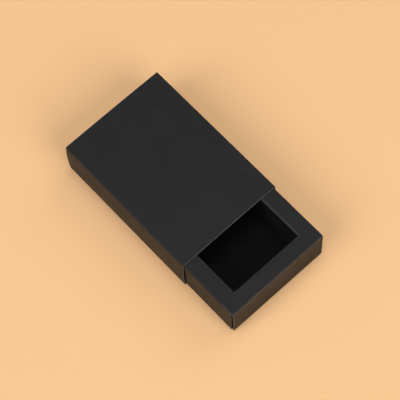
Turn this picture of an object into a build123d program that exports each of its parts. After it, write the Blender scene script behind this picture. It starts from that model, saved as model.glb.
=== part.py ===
from build123d import *

import os
from math import cos, pi, radians, sin, tan

# A sliding drawer gift box in black folding card: an open-ended sleeve, and a tray with hollow rolled walls.
#
# All sizes are in millimetres. The origin is the middle of the sleeve's footprint, on the table. +Z is up,
# and the tray is drawn out of the sleeve along -Y. The tray is modelled partly drawn out.
#
# The sleeve and the tray are one die-cut and creased sheet each. Every panel between two creases is a solid
# of its own: a flat or slightly bowed stretch of card, with half of the fold at each creased edge, so that
# neighbouring panels meet on their crease line. Each tray wall is rolled: outer wall up, rim in, inner wall
# down, foot back out under the rim. The end walls and end rims are as wide as the tray, and lap over the side
# rims and the corner tabs.

# The card, its folds and its glue
card = 0.45  # thickness of the card
crease_radius = 0.15  # inside radius of a fold
glue_film = 0.1  # thickness of a line of dried glue

# The sleeve
sleeve_width = 60.0  # across the folds
sleeve_length = 85.0
sleeve_height = 25.0
side_bow = 0.5  # how far a side panel springs outwards at half height
flap_width = 12.0  # glue flap, from its crease to its free edge
flap_taper = 15.0  # degrees that each end of the flap is cut back
flap_glue_width = 8.0
flap_glue_inset = 6.0  # from each end of the sleeve to the line of glue

# The fit between tray and sleeve
side_clearance = 0.2  # on each side of the tray
top_clearance = 0.2
bottom_clearance = 0.2  # between the tray and the glue flap
end_recess = 0.25  # how far each end of the closed tray stands inside the sleeve
drawn_out = 33.7  # from the sleeve's mouth to the tray's front, as modelled

# The tray
side_rim_width = 8.7  # from the tray's outside to the well
end_rim_width = 8.4
corner_gap = 0.4  # between an end wall and the side pieces behind it
end_rim_inset = 0.25  # how far each cut end of an end rim stands in from the tray's side
well_corner_gap = 0.15  # between an end's inner wall and the side's inner wall
crease_relief = 0.4  # from the end of a fold to a cut edge
foot_width = 5.5  # flat of the foot under each rim
foot_inset = 0.6  # each end of a foot is this much shorter than its wall
tab_reach = 6.0  # flat of a corner tab
tab_lift = 1.6  # from the tray's underside to a corner tab
tab_taper = 8.0  # degrees that a tab narrows towards its free edge
foot_glue_width = 3.5
foot_glue_inset = 4.0  # from each end of a foot to its line of glue

# Worked out from the sizes above
fold_radius = crease_radius + card  # outside radius of a fold
mouth_y = -sleeve_length / 2
tray_width = sleeve_width - 2 * (card + side_clearance)
tray_length = sleeve_length - 2 * end_recess
flap_underside = card + glue_film
tray_bottom = flap_underside + card + bottom_clearance
tray_top = sleeve_height - card - top_clearance
side_top = tray_top - card  # the side rims lie one card lower, under the end rims
front_y = mouth_y - drawn_out
tray_middle_y = front_y + tray_length / 2
side_x = -tray_width / 2  # outside of the left wall
well_x = side_x + side_rim_width  # well face of the left inner wall
well_y = front_y + end_rim_width  # well face of the front inner wall
lapped_y = front_y + card + corner_gap  # where the side pieces start, behind the front wall
side_flat_y = lapped_y + fold_radius  # where the flat of the left wall starts
side_flat_length = 2 * (tray_middle_y - side_flat_y)
side_roll_length = 2 * (tray_middle_y - lapped_y)
foot_underside = tray_bottom + card + glue_film
side_foot_length = side_roll_length - 2 * foot_inset
end_inner_width = -2 * (well_x + well_corner_gap)
end_foot_length = end_inner_width - 2 * foot_inset
tab_low = tray_bottom + tab_lift
tab_high = side_top - fold_radius - crease_relief
tab_height = tab_high - tab_low
tab_middle_z = tab_low + tab_height / 2

LEFT, RIGHT = Vector(-1, 0, 0), Vector(1, 0, 0)
FRONT, BACK = Vector(0, -1, 0), Vector(0, 1, 0)
DOWN, UP = Vector(0, 0, -1), Vector(0, 0, 1)


def slab(x, y, z):
    """A flat stretch of card between the given pairs of limits."""
    size = [high - low for low, high in (x, y, z)]
    centre = [(low + high) / 2 for low, high in (x, y, z)]
    return Pos(*centre) * Box(*size)


def strip(outer, inner):
    """The section of a curved stretch of card. Its inner arc runs the other way from its outer arc."""
    return make_face(outer + Line(outer @ 1, inner @ 0) + inner + Line(inner @ 1, outer @ 0))


def fold_half(middle, length, outward, away):
    """Half of a fold. middle is the middle of the panel's edge on its outer face, outward is that face's
    normal, and away points over the edge, square to it. The bend turns from outward to away as far as the
    crease line."""
    centre = Vector(*middle) - outward * fold_radius
    section = Plane(origin=centre, x_dir=away, z_dir=away.cross(outward))

    def at(radius, share):
        angle = share * pi / 4
        return radius * sin(angle), radius * cos(angle)

    outer = ThreePointArc(at(fold_radius, 0), at(fold_radius, 0.5), at(fold_radius, 1))
    inner = ThreePointArc(at(crease_radius, 1), at(crease_radius, 0.5), at(crease_radius, 0))
    return extrude(section * strip(outer, inner), length / 2, both=True)


def span(middle, length):
    """The limits of a stretch that is centred on middle."""
    return middle - length / 2, middle + length / 2


# The sleeve: top, left side, bottom, and right side with the glue flap


def sleeve_top():
    flat = sleeve_width / 2 - fold_radius
    panel = slab((-flat, flat), span(0, sleeve_length), (sleeve_height - card, sleeve_height))
    for side, away in ((-1, LEFT), (1, RIGHT)):
        panel += fold_half((side * flat, 0, sleeve_height), sleeve_length, UP, away)
    return panel


def bowed_side(side, low, high):
    """A side panel between two creases, which springs out by side_bow."""
    outside = side * sleeve_width / 2
    inside = outside - side * card
    bulge = side * side_bow
    middle = (low + high) / 2
    outer = ThreePointArc((outside, low), (outside + bulge, middle), (outside, high))
    inner = ThreePointArc((inside, high), (inside + bulge, middle), (inside, low))
    outward = RIGHT if side > 0 else LEFT
    panel = extrude(Plane.XZ * strip(outer, inner), sleeve_length / 2, both=True)
    panel += fold_half((outside, 0, high), sleeve_length, outward, UP)
    panel += fold_half((outside, 0, low), sleeve_length, outward, DOWN)
    return panel


def sleeve_left_side():
    return bowed_side(-1, fold_radius, sleeve_height - fold_radius)


def sleeve_right_side():
    """Stands on the bottom panel: its lower crease carries the glue flap."""
    return bowed_side(1, flap_underside + fold_radius, sleeve_height - fold_radius)


def sleeve_bottom():
    """Creased on the left. On the right it ends in a cut edge, flush with the side: the box's one seam."""
    flat = -sleeve_width / 2 + fold_radius
    panel = slab((flat, sleeve_width / 2), span(0, sleeve_length), (0, card))
    return panel + fold_half((flat, 0, 0), sleeve_length, DOWN, LEFT)


def sleeve_glue_flap():
    """Turned in under the tray and glued down on the bottom panel, with its ends cut back."""
    crease_x = sleeve_width / 2 - fold_radius
    free_x = crease_x - flap_width
    half = sleeve_length / 2
    free_half = half - flap_width * tan(radians(flap_taper))
    outline = Polyline(
        (crease_x, -half),
        (crease_x, half),
        (free_x, free_half),
        (free_x, -free_half),
        close=True,
    )
    flap = extrude(Plane.XY.offset(flap_underside) * make_face(outline), card)
    return flap + fold_half((crease_x, 0, flap_underside), sleeve_length, DOWN, RIGHT)


def sleeve_seam_glue():
    """One line of glue between the flap and the bottom panel."""
    middle_x = sleeve_width / 2 - fold_radius - flap_width / 2
    length = sleeve_length - 2 * flap_glue_inset
    return slab(span(middle_x, flap_glue_width), span(0, length), (card, flap_underside))


# The tray: the base, then a left roll and a front roll, which are mirrored for the right and the back


def tray_base():
    flat_x = tray_width / 2 - fold_radius
    flat_y = tray_length / 2 - fold_radius
    panel = slab(
        (-flat_x, flat_x),
        (tray_middle_y - flat_y, tray_middle_y + flat_y),
        (tray_bottom, tray_bottom + card),
    )
    for side, away in ((-1, LEFT), (1, RIGHT)):
        edge = (side * flat_x, tray_middle_y, tray_bottom)
        panel += fold_half(edge, side_flat_length, DOWN, away)
    for side, away in ((-1, FRONT), (1, BACK)):
        edge = (0, tray_middle_y + side * flat_y, tray_bottom)
        panel += fold_half(edge, 2 * flat_x, DOWN, away)
    return panel


def tray_side_wall():
    """Outer wall of the left side, with a corner tab's crease at each end."""
    low, high = tray_bottom + fold_radius, side_top - fold_radius
    panel = slab((side_x, side_x + card), span(tray_middle_y, side_flat_length), (low, high))
    panel += fold_half((side_x, tray_middle_y, low), side_flat_length, LEFT, DOWN)
    panel += fold_half((side_x, tray_middle_y, high), side_flat_length, LEFT, UP)
    for side, away in ((-1, FRONT), (1, BACK)):
        edge = (side_x, tray_middle_y + side * side_flat_length / 2, tab_middle_z)
        panel += fold_half(edge, tab_height, LEFT, away)
    return panel


def tray_corner_tab():
    """Turned in behind the front wall from the left wall's front crease. It narrows to its free edge."""
    crease_x = side_x + fold_radius
    free_x = crease_x + tab_reach
    narrowing = tab_reach * tan(radians(tab_taper))
    outline = Polyline(
        (crease_x, tab_low),
        (free_x, tab_low + narrowing),
        (free_x, tab_high - narrowing),
        (crease_x, tab_high),
        close=True,
    )
    tab = extrude(Plane.XZ.offset(-lapped_y) * make_face(outline), -card)
    return tab + fold_half((crease_x, lapped_y, tab_middle_z), tab_height, FRONT, LEFT)


def tray_side_rim():
    flat_low, flat_high = side_x + fold_radius, well_x - fold_radius
    panel = slab(
        (flat_low, flat_high),
        span(tray_middle_y, side_roll_length),
        (side_top - card, side_top),
    )
    panel += fold_half((flat_low, tray_middle_y, side_top), side_flat_length, UP, LEFT)
    panel += fold_half((flat_high, tray_middle_y, side_top), side_roll_length, UP, RIGHT)
    return panel


def tray_side_inner_wall():
    low, high = foot_underside + fold_radius, side_top - fold_radius
    panel = slab((well_x - card, well_x), span(tray_middle_y, side_roll_length), (low, high))
    panel += fold_half((well_x, tray_middle_y, high), side_roll_length, RIGHT, UP)
    panel += fold_half((well_x, tray_middle_y, low), side_foot_length, RIGHT, DOWN)
    return panel


def tray_side_foot():
    """Turned outwards under the side rim, and glued down on the base."""
    crease_x = well_x - fold_radius
    panel = slab(
        (crease_x - foot_width, crease_x),
        span(tray_middle_y, side_foot_length),
        (foot_underside, foot_underside + card),
    )
    edge = (crease_x, tray_middle_y, foot_underside)
    return panel + fold_half(edge, side_foot_length, DOWN, RIGHT)


def tray_end_wall():
    """Outer wall of the front, as wide as the tray. Its cut ends are flush with the side walls."""
    low, high = tray_bottom + fold_radius, tray_top - fold_radius
    panel = slab(span(0, tray_width), (front_y, front_y + card), (low, high))
    panel += fold_half((0, front_y, high), tray_width, FRONT, UP)
    panel += fold_half((0, front_y, low), tray_width - 2 * fold_radius, FRONT, DOWN)
    return panel


def tray_end_rim():
    """Laps over both side rims. Only the stretch between them is creased down into the well."""
    flat_low, flat_high = front_y + fold_radius, well_y - fold_radius
    cut_x = tray_width / 2 - end_rim_inset
    panel = slab((-cut_x, cut_x), (flat_low, flat_high), (tray_top - card, tray_top))
    wing_x = end_inner_width / 2 + crease_relief
    for side in (-1, 1):
        wing = sorted((side * wing_x, side * cut_x))
        panel += slab(wing, (flat_high, well_y), (tray_top - card, tray_top))
    panel += fold_half((0, flat_low, tray_top), tray_width, UP, FRONT)
    panel += fold_half((0, flat_high, tray_top), end_inner_width, UP, BACK)
    return panel


def tray_end_inner_wall():
    low, high = foot_underside + fold_radius, tray_top - fold_radius
    panel = slab(span(0, end_inner_width), (well_y - card, well_y), (low, high))
    panel += fold_half((0, well_y, high), end_inner_width, BACK, UP)
    panel += fold_half((0, well_y, low), end_foot_length, BACK, DOWN)
    return panel


def tray_end_foot():
    crease_y = well_y - fold_radius
    panel = slab(
        span(0, end_foot_length),
        (crease_y - foot_width, crease_y),
        (foot_underside, foot_underside + card),
    )
    return panel + fold_half((0, crease_y, foot_underside), end_foot_length, DOWN, BACK)


def tray_foot_glue():
    """Four lines of glue, one under each foot."""
    film = (tray_bottom + card, foot_underside)
    foot_x = well_x - fold_radius - foot_width / 2
    foot_y = well_y - fold_radius - foot_width / 2
    side_line = slab(
        span(foot_x, foot_glue_width),
        span(tray_middle_y, side_foot_length - 2 * foot_glue_inset),
        film,
    )
    end_line = slab(
        span(0, end_foot_length - 2 * foot_glue_inset),
        span(foot_y, foot_glue_width),
        film,
    )
    return Compound([side_line, to_right(side_line), end_line, to_back(end_line)])


def to_right(piece):
    return mirror(piece, about=Plane.YZ)


def to_back(piece):
    return mirror(piece, about=Plane.XZ.offset(-tray_middle_y))


parts = {
    "sleeve_top_panel": sleeve_top(),
    "sleeve_left_side": sleeve_left_side(),
    "sleeve_right_side": sleeve_right_side(),
    "sleeve_bottom_panel": sleeve_bottom(),
    "sleeve_glue_flap": sleeve_glue_flap(),
    "sleeve_seam_glue": sleeve_seam_glue(),
    "tray_base": tray_base(),
    "tray_foot_glue": tray_foot_glue(),
}
side_roll = {
    "outer_wall": tray_side_wall(),
    "rim": tray_side_rim(),
    "inner_wall": tray_side_inner_wall(),
    "foot": tray_side_foot(),
}
end_roll = {
    "outer_wall": tray_end_wall(),
    "rim": tray_end_rim(),
    "inner_wall": tray_end_inner_wall(),
    "foot": tray_end_foot(),
}
for name, panel in side_roll.items():
    parts[f"tray_left_{name}"] = panel
    parts[f"tray_right_{name}"] = to_right(panel)
for name, panel in end_roll.items():
    parts[f"tray_front_{name}"] = panel
    parts[f"tray_back_{name}"] = to_back(panel)
corner_tab = tray_corner_tab()
parts["tray_front_left_tab"] = corner_tab
parts["tray_front_right_tab"] = to_right(corner_tab)
parts["tray_back_left_tab"] = to_back(corner_tab)
parts["tray_back_right_tab"] = to_right(to_back(corner_tab))

os.makedirs("parts", exist_ok=True)
for name, solid in parts.items():
    export_step(solid, f"parts/{name}.step")
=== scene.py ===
import math

import bmesh
import bpy
from mathutils import Matrix, Vector


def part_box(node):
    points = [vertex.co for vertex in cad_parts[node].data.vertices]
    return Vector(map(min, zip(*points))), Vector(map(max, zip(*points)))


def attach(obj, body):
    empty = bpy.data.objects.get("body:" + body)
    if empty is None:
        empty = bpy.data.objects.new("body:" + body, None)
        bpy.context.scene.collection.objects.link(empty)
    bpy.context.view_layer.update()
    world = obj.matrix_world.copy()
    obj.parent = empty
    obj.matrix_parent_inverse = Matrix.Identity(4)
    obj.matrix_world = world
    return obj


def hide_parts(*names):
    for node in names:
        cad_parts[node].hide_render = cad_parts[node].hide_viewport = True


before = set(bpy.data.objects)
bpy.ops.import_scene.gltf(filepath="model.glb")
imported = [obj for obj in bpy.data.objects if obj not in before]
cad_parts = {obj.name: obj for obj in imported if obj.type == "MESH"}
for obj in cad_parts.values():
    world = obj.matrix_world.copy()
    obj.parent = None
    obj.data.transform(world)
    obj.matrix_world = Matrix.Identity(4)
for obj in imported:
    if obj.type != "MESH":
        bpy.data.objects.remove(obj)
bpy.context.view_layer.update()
bpy.ops.object.select_all(action="DESELECT")


# --- The sleeve -----------------------------------------------------------------------------
# One sheet of black folding card, creased and wrapped round: bottom panel, left side, top
# panel, right side, and a glue flap turned in along the lower right edge. It is open at both
# ends, where the cut edge of the card shows.

MM = 0.001
LEFT, RIGHT = Vector((-1, 0, 0)), Vector((1, 0, 0))
FRONT, BACK = Vector((0, -1, 0)), Vector((0, 1, 0))
DOWN, UP = Vector((0, 0, -1)), Vector((0, 0, 1))

card = 0.45 * MM
fold_radius = 0.6 * MM  # outside radius of a fold
fold_steps = 8
crease_strip = 0.4 * MM  # narrow strip of panel beside each crease
panel_step = 3.5 * MM  # widest step across a panel
cut_edge_round = 0.12 * MM  # how far the cutting rule rounds over a cut edge
wear_and_highlight_reach = 0.8 * MM  # how far from a fold the card is lightened, by real wear and by a painted highlight
touching = 0.01 * MM  # two places nearer than this are the same

sleeve_low, sleeve_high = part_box("sleeve_bottom_panel")
sleeve_right = sleeve_high.x
sleeve_left = -sleeve_right
sleeve_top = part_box("sleeve_top_panel")[1].z
sleeve_length = sleeve_high.y - sleeve_low.y
flap_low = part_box("sleeve_glue_flap")[0]
side_bow = 0.5 * MM  # the sides spring out
top_crown = 0.25 * MM  # the top stands up a little along its middle
flap_taper = math.radians(15)


def start_sheet(name, low, high, steps_x, steps_y):
    """A new flat panel, open in edit mode, from which the rest of its sheet is folded."""
    bpy.ops.mesh.primitive_grid_add(x_subdivisions=steps_x, y_subdivisions=steps_y, size=1)
    sheet = bpy.context.object
    sheet.name = sheet.data.name = name
    bpy.ops.object.mode_set(mode="EDIT")
    bpy.ops.transform.resize(value=(high.x - low.x, high.y - low.y, 1))
    bpy.ops.transform.translate(value=((low.x + high.x) / 2, (low.y + high.y) / 2, low.z))
    return sheet


def pick(sheet, kind, test):
    """Selects the sheet's vertices, edges or faces whose corners all pass the test, and no other."""
    bpy.ops.mesh.select_mode(type=kind)
    bpy.ops.mesh.select_all(action="DESELECT")
    mesh = bmesh.from_edit_mesh(sheet.data)
    for item in {"VERT": mesh.verts, "EDGE": mesh.edges, "FACE": mesh.faces}[kind]:
        corners = [item] if kind == "VERT" else item.verts
        item.select_set(all(test(corner.co) for corner in corners))
    mesh.select_flush_mode()
    bmesh.update_edit_mesh(sheet.data)


def same(a, b):
    return abs(a - b) < touching


def run_on(step):
    """Runs the selected edge on by one step as a strip of panel."""
    bpy.ops.mesh.extrude_region_move(TRANSFORM_OT_translate={"value": step})


def extend(edge, travel, width, steps=None):
    """Runs the selected edge on as a flat panel: a strip beside each crease and even steps
    between them. edge is a point on it. Returns that point as it is after the panel."""
    if steps is None:
        steps = 2 * math.ceil(width / panel_step / 2)
    between = width - 2 * crease_strip
    for step in [crease_strip] + [between / steps] * steps + [crease_strip]:
        run_on(travel * step)
    return edge + travel * width


# Of each fold: its middle line, the ways its first and its last panel face, its ridge, and how much
# it is lightened by real wear and by a painted highlight.
folds = []


def fold(edge, normal, travel, ridge=0.5, wear_and_highlight=0.15):
    """Turns the selected edge through a right angle, away from the sheet's outer face. edge is a
    point on it, normal that face's normal and travel the way the sheet runs. Returns the three
    as they are after the fold. ridge is how far round the fold the card is lightened most, and
    the last argument how much, both from 0 to 1: partly real wear, partly a painted highlight."""
    centre = edge - normal * fold_radius
    folds.append((centre, normal, travel, ridge * math.pi / 2, wear_and_highlight))
    bpy.ops.mesh.spin(steps=fold_steps, angle=math.pi / 2, center=centre, axis=travel.cross(normal))
    return centre + travel * fold_radius, travel, -normal


def wear_and_highlight_from(place, centre, first, last, ridge, wear_and_highlight):
    """How much a place is lightened by being at a fold, partly by real wear and partly by a
    painted highlight: most on its ridge, less with distance, and not at all past its panels' faces."""
    out, over = (place - centre).dot(first), (place - centre).dot(last)
    if max(out, over) > fold_radius + card / 2:
        return 0
    out_from_ridge = out - fold_radius * math.cos(ridge)
    over_from_ridge = over - fold_radius * math.sin(ridge)
    return wear_and_highlight * max(0, 1 - math.hypot(out_from_ridge, over_from_ridge) / wear_and_highlight_reach)


def spring(sheet, test, push, reach):
    """Bows a panel: the places that pass the test move by push, and the rest follows in a
    parabola that ends a distance of reach away."""
    pick(sheet, "VERT", test)
    bpy.ops.transform.translate(
        value=push,
        use_proportional_edit=True,
        use_proportional_connected=True,
        proportional_edit_falloff="INVERSE_SQUARE",
        proportional_size=reach,
    )


def trim(sheet, test, place, outward):
    """Cuts the faces that pass the test along a plane, and clears what lies outward of it."""
    pick(sheet, "FACE", test)
    bpy.ops.mesh.bisect(plane_co=place, plane_no=outward, clear_outer=True)


def finish_sheet(sheet, painted_shade_at):
    """Closes a folded sheet: notes how much its folds are lightened, by real wear and by a painted
    highlight, gives it the card's thickness inwards, rounds over its cut edges and gives it its
    materials. The last argument tests for places whose outer face takes the dark reverse card as
    painted shade."""
    edge_slot, reverse_and_shade_slot = 1, 2  # places in the list of materials below
    bpy.ops.mesh.select_all(action="SELECT")
    bpy.ops.mesh.remove_doubles(threshold=touching)
    bpy.ops.mesh.normals_make_consistent(inside=False)
    bpy.ops.object.mode_set(mode="OBJECT")
    lowest = min(sheet.data.polygons, key=lambda face: face.center.z)
    if lowest.normal.z > 0:
        sheet.data.flip_normals()
    # Each vertex notes how much lighter the card is near a fold: partly real wear, partly a painted
    # highlight.
    crease = sheet.data.attributes.new("crease", "FLOAT", "POINT")
    for vertex in sheet.data.vertices:
        wear_and_highlight = max(wear_and_highlight_from(vertex.co, *fold_line) for fold_line in folds)
        crease.data[vertex.index].value = wear_and_highlight
    for material in (black_card, cut_edge, black_card_reverse_and_shade):
        sheet.data.materials.append(material)
    bpy.ops.object.shade_smooth()
    folds.clear()
    thickness = sheet.modifiers.new("card", "SOLIDIFY")
    thickness.thickness = card
    thickness.offset = -1
    thickness.use_even_offset = True
    thickness.use_quality_normals = True
    thickness.material_offset_rim = edge_slot
    thickness.material_offset = reverse_and_shade_slot
    rounding = sheet.modifiers.new("cut edge", "BEVEL")
    rounding.width = cut_edge_round
    rounding.segments = 2
    rounding.limit_method = "ANGLE"
    rounding.angle_limit = math.radians(60)
    rounding.harden_normals = True
    rounding.material = edge_slot
    for modifier in (thickness.name, rounding.name):
        bpy.ops.object.modifier_apply(modifier=modifier)
    # Places in the shade get the dark reverse card on their outer face too: painted shade.
    for face in sheet.data.polygons:
        if painted_shade_at(face.center):
            face.material_index = reverse_and_shade_slot


sleeve = start_sheet(
    "sleeve_sheet",
    Vector((sleeve_left + fold_radius, sleeve_low.y, 0)),
    Vector((sleeve_right, sleeve_high.y, 0)),
    steps_x=18,
    steps_y=34,
)
pick(sleeve, "EDGE", lambda at: same(at.x, sleeve_left + fold_radius))
at, normal, travel = Vector((sleeve_left + fold_radius, 0, 0)), DOWN, LEFT
panel_widths = (
    sleeve_top - 2 * fold_radius,
    sleeve_right - sleeve_left - 2 * fold_radius,
    sleeve_top - flap_low.z - 2 * fold_radius,
    sleeve_right - fold_radius - flap_low.x,
)
for width in panel_widths:
    at, normal, travel = fold(at, normal, travel)
    at = extend(at, travel, width)
for end in (-1, 1):
    trim(
        sleeve,
        lambda at: same(at.z, flap_low.z) and at.x < sleeve_right - fold_radius + touching,
        Vector((sleeve_right - fold_radius, end * sleeve_length / 2, flap_low.z)),
        Vector((-math.sin(flap_taper), end * math.cos(flap_taper), 0)),
    )
left_middle_z = sleeve_top / 2
right_middle_z = (sleeve_top + flap_low.z) / 2
spring(
    sleeve,
    lambda at: same(at.x, sleeve_left) and same(at.z, left_middle_z),
    LEFT * side_bow,
    sleeve_top / 2 - fold_radius,
)
spring(
    sleeve,
    lambda at: same(at.x, sleeve_right) and same(at.z, right_middle_z),
    RIGHT * side_bow,
    (sleeve_top - flap_low.z) / 2 - fold_radius,
)
spring(
    sleeve,
    lambda at: same(at.z, sleeve_top) and same(at.x, 0),
    UP * top_crown,
    sleeve_right - fold_radius,
)


def set_inputs(tree, item, inputs):
    """A socket given for one of a node's inputs is linked to it, and a value is set on it."""
    for name, value in dict(inputs).items():
        if isinstance(value, bpy.types.NodeSocket):
            tree.links.new(value, item.inputs[name])
        else:
            item.inputs[name].default_value = value


def add(tree, kind, inputs=(), **settings):
    """A shader node."""
    item = tree.nodes.new("ShaderNode" + kind)
    for name, value in settings.items():
        setattr(item, name, value)
    set_inputs(tree, item, inputs)
    return item


def remap(tree, value, low, high, to_low=0, to_high=1):
    """Brings a value from the range low to high into the range to_low to to_high, and holds it
    there."""
    limits = {"From Min": low, "From Max": high, "To Min": to_low, "To Max": to_high}
    return add(tree, "MapRange", {"Value": value, **limits}).outputs["Result"]


def times(tree, first, second):
    return add(tree, "Math", {0: first, 1: second}, operation="MULTIPLY").outputs[0]


def noise(tree, place, scale, **inputs):
    return add(tree, "TexNoise", {"Vector": place, "Scale": scale, **inputs}).outputs["Fac"]


def blend(tree, share, first, second):
    """The first colour where share is 0, the second where it is 1."""
    mix = add(tree, "Mix", {"Factor": share}, data_type="RGBA")
    colour_a, colour_b, result = mix.inputs[6], mix.inputs[7], mix.outputs[2]
    for socket, colour in ((colour_a, first), (colour_b, second)):
        if isinstance(colour, bpy.types.NodeSocket):
            tree.links.new(colour, socket)
        else:
            socket.default_value = (*colour, 1)
    return result


def start_look(name, inputs=()):
    """An empty node group with number inputs, which puts out a surface's colour, roughness and
    height: the tree, its input node and its output node."""
    tree = bpy.data.node_groups.new(name, "ShaderNodeTree")
    for title in inputs:
        tree.interface.new_socket(title, in_out="INPUT", socket_type="NodeSocketFloat")
    for title, kind in (("Color", "Color"), ("Roughness", "Float"), ("Height", "Float")):
        tree.interface.new_socket(title, in_out="OUTPUT", socket_type="NodeSocket" + kind)
    return tree, tree.nodes.new("NodeGroupInput"), tree.nodes.new("NodeGroupOutput")


def use_look(tree, look, inputs=()):
    item = tree.nodes.new("ShaderNodeGroup")
    item.node_tree = look
    set_inputs(tree, item, inputs)
    return item


def start_material(name, specular):
    """A new material: its tree and its surface shader."""
    material = bpy.data.materials.new(name)
    material.use_nodes = True
    shader = material.node_tree.nodes["Principled BSDF"]
    shader.inputs["Specular IOR Level"].default_value = specular
    return material, material.node_tree, shader


def set_surface(tree, shader, look, bump_strength, bump_height):
    """Takes colour, roughness and height from a group's outputs to the surface shader."""
    height = look.outputs["Height"]
    bump = add(tree, "Bump", {"Strength": bump_strength, "Distance": bump_height, "Height": height})
    tree.links.new(look.outputs["Color"], shader.inputs["Base Color"])
    tree.links.new(look.outputs["Roughness"], shader.inputs["Roughness"])
    tree.links.new(bump.outputs["Normal"], shader.inputs["Normal"])


card_black = (0.0036, 0.0036, 0.0035)
card_washed = (0.0058, 0.0057, 0.0056)  # where the dye is thin
# The next colour lightens the folds: partly worn card at the creases, partly a painted highlight.
card_worn_and_highlight = (0.06, 0.058, 0.056)
speck_pale = (0.11, 0.105, 0.1)

card_look, card_in, card_out = start_look("card_look", inputs=("Crease",))
place = add(card_look, "TexCoord").outputs["Object"]
clouds = noise(card_look, place, 60, Detail=3)
mottle = noise(card_look, place, 420, Detail=5, Roughness=0.65)
fibres = noise(card_look, place, 3200, Detail=4, Roughness=0.6, Distortion=1.6)
cells = add(card_look, "TexVoronoi", {"Vector": place, "Scale": 115})
dot = remap(card_look, cells.outputs["Distance"], 0.036, 0.022)
cell_number = add(card_look, "SeparateColor", {"Color": cells.outputs["Color"]}).outputs["Red"]
speck = times(card_look, dot, remap(card_look, cell_number, 0.62, 0.75))
dye = blend(card_look, remap(card_look, mottle, 0.3, 0.7), card_black, card_washed)
# Along the folds the card is blended towards that lighter colour: partly real wear, partly a painted
# highlight.
wear_and_highlight_share = times(card_look, card_in.outputs["Crease"], remap(card_look, clouds, 0.4, 0.6, 0.7, 1))
wear_and_highlight_share = times(card_look, wear_and_highlight_share, remap(card_look, fibres, 0.3, 0.6, 0.7, 1))
worn_and_highlit = blend(card_look, wear_and_highlight_share, dye, card_worn_and_highlight)
colour = blend(card_look, speck, worn_and_highlit, speck_pale)
card_look.links.new(colour, card_out.inputs["Color"])
card_look.links.new(remap(card_look, clouds, 0.35, 0.65, 0.63, 0.58), card_out.inputs["Roughness"])
card_look.links.new(fibres, card_out.inputs["Height"])

card_materials = []
# The reverse card has little sheen. It also stands in as painted shade on the places that
# in_the_shade picks.
for name, specular in (("black_card", 0.36), ("black_card_reverse_and_shade", 0.05)):
    material, tree, shader = start_material(name, specular)
    crease = add(tree, "Attribute", attribute_name="crease").outputs["Fac"]
    look = use_look(tree, card_look, {"Crease": crease})
    set_surface(tree, shader, look, bump_strength=0.35, bump_height=0.03 * MM)
    card_materials.append(material)
black_card, black_card_reverse_and_shade = card_materials

edge_dark = (0.05, 0.048, 0.045)
edge_light = (0.2, 0.193, 0.182)

edge_look, _, edge_out = start_look("cut_edge_look")
place = add(edge_look, "TexCoord").outputs["Object"]
frayed = noise(edge_look, place, 2400, Detail=5, Roughness=0.7, Distortion=0.8)
colour = blend(edge_look, remap(edge_look, frayed, 0.35, 0.62), edge_dark, edge_light)
edge_look.links.new(colour, edge_out.inputs["Color"])
edge_look.links.new(remap(edge_look, frayed, 0, 1, 0.8, 1), edge_out.inputs["Roughness"])
edge_look.links.new(frayed, edge_out.inputs["Height"])

cut_edge, tree, shader = start_material("cut_edge", specular=0.3)
set_surface(tree, shader, use_look(tree, edge_look), bump_strength=0.6, bump_height=0.05 * MM)

finish_sheet(sleeve, painted_shade_at=lambda at: False)
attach(sleeve, "sleeve")
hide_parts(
    "sleeve_bottom_panel",
    "sleeve_left_side",
    "sleeve_top_panel",
    "sleeve_right_side",
    "sleeve_glue_flap",
)

# --- The tray -------------------------------------------------------------------------------
# A second sheet of the same card. Each wall is rolled: up the outside, in along the rim, down
# into the well, and back out under the rim as a foot, which is glued to the base. Corner tabs
# on the side walls turn in behind the end walls, and the end rims lie over the side rims.

base_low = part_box("tray_base")[0]
tray_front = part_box("tray_front_outer_wall")[0].y
tray_right, tray_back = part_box("tray_back_outer_wall")[1].xy
tray_middle = (tray_front + tray_back) / 2
end_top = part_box("tray_front_rim")[1].z
side_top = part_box("tray_left_rim")[1].z
lapped_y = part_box("tray_left_rim")[0].y
well_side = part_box("tray_right_inner_wall")[0].x
well_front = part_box("tray_front_inner_wall")[1].y
end_inner_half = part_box("tray_front_inner_wall")[1].x
foot_low, foot_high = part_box("tray_right_foot")
end_foot_low, end_foot_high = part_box("tray_front_foot")
tab_low, tab_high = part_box("tray_front_right_tab")
relief = 0.4 * MM  # slit between the end rim's crease and its wings
tab_taper = math.radians(8)  # at a tab's upper and lower edges
end_inset = 0.25 * MM  # how far the end walls and end rims stop short of the tray's sides
end_wall_bow = 0.25 * MM  # the end walls are drawn in a little at half height
loose_corner = 0.35 * MM  # the front wall springs open at its left end
shaded_from = 0.35 * MM  # where a tab's fold passes into the shade of the corner

flat_half_x = tray_right - fold_radius
flat_half_y = (tray_back - tray_front) / 2 - fold_radius
side_half_y = tray_middle - lapped_y - fold_radius
roll_half_y = tray_middle - lapped_y
rim_half_y = tray_middle - well_front  # where the end rims end
end_half_x = tray_right - end_inset
end_middle_z = (base_low.z + end_top) / 2

tray = start_sheet(
    "tray_sheet",
    Vector((-flat_half_x, tray_middle - side_half_y, base_low.z)),
    Vector((flat_half_x, tray_middle + side_half_y, base_low.z)),
    steps_x=18,
    steps_y=26,
)
for end in (FRONT, BACK):
    pick(tray, "EDGE", lambda at: same(at.y, tray_middle + end.y * side_half_y))
    run_on(end * (flat_half_y - side_half_y))


def beside_middle(at, reach):
    """Whether a place is within reach of the tray's middle, along the tray."""
    return abs(at.y - tray_middle) < reach + touching


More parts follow.
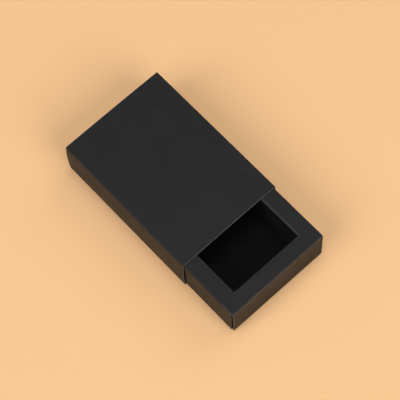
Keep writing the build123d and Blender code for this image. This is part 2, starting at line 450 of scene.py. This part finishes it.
for out in (LEFT, RIGHT):
    edge_x = out.x * flat_half_x
    wall_x = out.x * tray_right
    pick(tray, "EDGE", lambda at: same(at.x, edge_x) and beside_middle(at, side_half_y))
    at, normal, travel = fold(Vector((edge_x, 0, base_low.z)), DOWN, out)
    at = extend(at, travel, side_top - base_low.z - 2 * fold_radius)
    at, normal, travel = fold(at, normal, travel)
    at = extend(at, travel, tray_right - well_side - 2 * fold_radius)
    for end in (FRONT, BACK):
        pick(
            tray,
            "EDGE",
            lambda at: same(at.z, side_top)
            and same(at.y, tray_middle + end.y * side_half_y)
            and out.x * at.x > 0,
        )
        run_on(end * fold_radius)
    pick(
        tray,
        "EDGE",
        lambda at: same(at.z, side_top) and same(at.x, out.x * (well_side + fold_radius)),
    )
    # The right inner fold is lightened more than the left: a painted highlight where light catches
    # it, on top of some real wear.
    at, normal, travel = fold(at, normal, travel, wear_and_highlight=0.9 if out is RIGHT else 0.3)
    at = extend(at, travel, side_top - foot_low.z - 2 * fold_radius)
    pick(
        tray,
        "EDGE",
        lambda at: same(at.z, foot_low.z + fold_radius)
        and same(at.x, out.x * well_side)
        and beside_middle(at, side_half_y),
    )
    at, normal, travel = fold(at, normal, travel)
    extend(at, travel, foot_high.x - well_side - fold_radius, steps=1)

    pick(tray, "FACE", lambda at: same(at.x, wall_x))
    bpy.ops.mesh.bisect(plane_co=(0, 0, tab_low.z), plane_no=UP)
    for end in (FRONT, BACK):
        crease_y = tray_middle + end.y * side_half_y
        pick(
            tray,
            "EDGE",
            lambda at: same(at.x, wall_x)
            and same(at.y, crease_y)
            and tab_low.z - touching < at.z < tab_high.z + touching,
        )
        fold(Vector((wall_x, crease_y, 0)), out, end)
        reach = tray_right - fold_radius - tab_low.x
        run_on(out * -reach)
        narrowed = 1 - 2 * reach * math.tan(tab_taper) / (tab_high.z - tab_low.z)
        tab_middle_z = (tab_low.z + tab_high.z) / 2
        bpy.ops.transform.resize(value=(1, 1, narrowed), center_override=(0, 0, tab_middle_z))

for end in (FRONT, BACK):
    edge_y = tray_middle + end.y * flat_half_y
    wall_y = tray_middle + end.y * (flat_half_y + fold_radius)
    pick(tray, "EDGE", lambda at: same(at.y, edge_y) and same(at.z, base_low.z))
    at, normal, travel = fold(Vector((0, edge_y, base_low.z)), DOWN, end)
    at = extend(at, travel, end_top - base_low.z - 2 * fold_radius)
    for out in (LEFT, RIGHT):
        pick(
            tray,
            "EDGE",
            lambda at: same(at.y, wall_y) and same(at.x, out.x * flat_half_x),
        )
        run_on(out * (end_half_x - flat_half_x))
    pick(tray, "EDGE", lambda at: same(at.y, wall_y) and same(at.z, end_top - fold_radius))
    # The end rims' outer folds are lightened most, towards the wall side: a painted highlight, with
    # some real wear.
    at, normal, travel = fold(at, normal, travel, ridge=0.05, wear_and_highlight=1)
    at = extend(at, travel, well_front - tray_front - 2 * fold_radius)
    inner_edge_y = at.y
    for cut_x in (end_foot_high.x, end_inner_half, end_inner_half + relief):
        for side in (-1, 1):
            pick(tray, "FACE", lambda at: same(at.z, end_top))
            bpy.ops.mesh.bisect(plane_co=(side * cut_x, 0, 0), plane_no=RIGHT)
    for out in (LEFT, RIGHT):
        pick(
            tray,
            "EDGE",
            lambda at: same(at.z, end_top)
            and same(at.y, inner_edge_y)
            and out.x * at.x > end_inner_half + relief - touching,
        )
        run_on(travel * fold_radius)
    pick(
        tray,
        "EDGE",
        lambda at: same(at.z, end_top)
        and same(at.y, inner_edge_y)
        and abs(at.x) < end_inner_half + touching,
    )
    at, normal, travel = fold(at, normal, travel)
    at = extend(at, travel, end_top - foot_low.z - 2 * fold_radius)
    pick(
        tray,
        "EDGE",
        lambda at: same(at.z, foot_low.z + fold_radius)
        and same(at.y, tray_middle + end.y * rim_half_y)
        and abs(at.x) < end_foot_high.x + touching,
    )
    at, normal, travel = fold(at, normal, travel)
    extend(at, travel, well_front - fold_radius - end_foot_low.y, steps=1)

to_crease = end_middle_z - base_low.z - fold_radius
for end_y, inward in ((tray_front, BACK), (tray_back, FRONT)):
    spring(
        tray,
        lambda at: same(at.y, end_y)
        and same(at.z, end_middle_z)
        and abs(at.x) < end_half_x - to_crease,
        inward * end_wall_bow,
        to_crease,
    )
spring(
    tray,
    lambda at: same(at.y, tray_front) and same(at.z, end_middle_z) and same(at.x, -end_half_x),
    FRONT * loose_corner,
    to_crease,
)


def in_the_shade(at):
    """Whether a place is on a tab's fold, behind the corner, or on the cut edge of an end rim's
    wing, where it lies on the side rim."""
    from_middle = abs(at.y - tray_middle)
    on_fold = side_half_y + shaded_from < from_middle < roll_half_y + touching
    on_wing_edge = (
        from_middle < rim_half_y + cut_edge_round + touching
        and at.z > side_top + touching
        and abs(at.x) > end_inner_half + relief
    )
    return on_wing_edge or (on_fold and tab_low.z < at.z < tab_high.z)


# The tabs' folds behind the corners and the wings' cut edges are painted dark with the reverse card,
# as shade.
finish_sheet(tray, painted_shade_at=in_the_shade)
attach(tray, "tray")
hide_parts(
    "tray_base",
    *(
        f"tray_{side}_{panel}"
        for side in ("left", "right", "front", "back")
        for panel in ("outer_wall", "rim", "inner_wall", "foot")
    ),
    *(f"tray_{end}_{side}_tab" for end in ("front", "back") for side in ("left", "right")),
)

# --- The glue -------------------------------------------------------------------------------
# White glue, dried to a clear, yellowish film: one line holds the sleeve's flap to its bottom,
# and four lines hold the tray's feet to its base.

glue_clear = (0.5, 0.44, 0.33)
glue_milky = (0.72, 0.69, 0.6)

glue_look, _, glue_out = start_look("glue_look")
place = add(glue_look, "TexCoord").outputs["Object"]
drying = noise(glue_look, place, 500, Detail=3)
colour = blend(glue_look, remap(glue_look, drying, 0.35, 0.65), glue_clear, glue_milky)
glue_look.links.new(colour, glue_out.inputs["Color"])
glue_look.links.new(remap(glue_look, drying, 0, 1, 0.3, 0.5), glue_out.inputs["Roughness"])
glue_look.links.new(drying, glue_out.inputs["Height"])

dried_glue, tree, shader = start_material("dried_glue", specular=0.5)
set_surface(tree, shader, use_look(tree, glue_look), bump_strength=0.4, bump_height=0.05 * MM)
for name in ("sleeve_seam_glue", "tray_foot_glue"):
    glue = bpy.data.objects[name]
    glue.data.materials.clear()
    glue.data.materials.append(dried_glue)

# --- The table, the light and the camera ----------------------------------------------------
# A plain pale table under soft studio light: four large lamps, one overhead and the others 38
# to 45 degrees up, to the left, in front and, much weaker, to the right, in a dim white room.

table_width = 6
table_pale = (0.93, 0.565, 0.29, 1)
lamp_distance = 3
room_light = 0.1

bpy.ops.mesh.primitive_plane_add(size=table_width)
table = bpy.context.object
table.name = table.data.name = "table"
table_top, tree, shader = start_material("table_top", specular=0)
shader.inputs["Base Color"].default_value = table_pale
shader.inputs["Roughness"].default_value = 0.9
table.data.materials.append(table_top)

room = bpy.data.worlds.new("room")
bpy.context.scene.world = room
room.use_nodes = True
background = room.node_tree.nodes["Background"]
background.inputs["Color"].default_value = (1, 1, 1, 1)
background.inputs["Strength"].default_value = room_light

for name, direction, size, power in (
    ("overhead_lamp", Vector((0, 0, 1)), 1.4, 25),
    ("left_lamp", Vector((-1, 0, 0.9)), 1.9, 41),
    ("front_lamp", Vector((0, -1, 0.78)), 1.9, 44),
    ("right_lamp", Vector((1, 0, 1)), 1.9, 15),
):
    light = bpy.data.lights.new(name, "AREA")
    light.size = size
    light.energy = power
    lamp = bpy.data.objects.new(name, light)
    bpy.context.scene.collection.objects.link(lamp)
    lamp.location = direction.normalized() * lamp_distance
    lamp.rotation_euler = direction.to_track_quat("Z", "Y").to_euler()

camera_place = Vector((-183.898, -259.584, 736.965)) * MM
camera_right = Vector((0.736928, -0.675054, -0.03521))
camera_view = Vector((0.236728, 0.306514, -0.921959))
camera_up = camera_right.cross(camera_view)
camera_data = bpy.data.cameras.new("camera")
camera_data.lens = 145.27
camera_data.sensor_width = 36
camera = bpy.data.objects.new("camera", camera_data)
bpy.context.scene.collection.objects.link(camera)
camera.matrix_world = Matrix.Translation(camera_place) @ Matrix(
    (camera_right, camera_up, -camera_view)
).transposed().to_4x4()
bpy.context.scene.camera = camera
bpy.context.scene.view_settings.view_transform = "Standard"
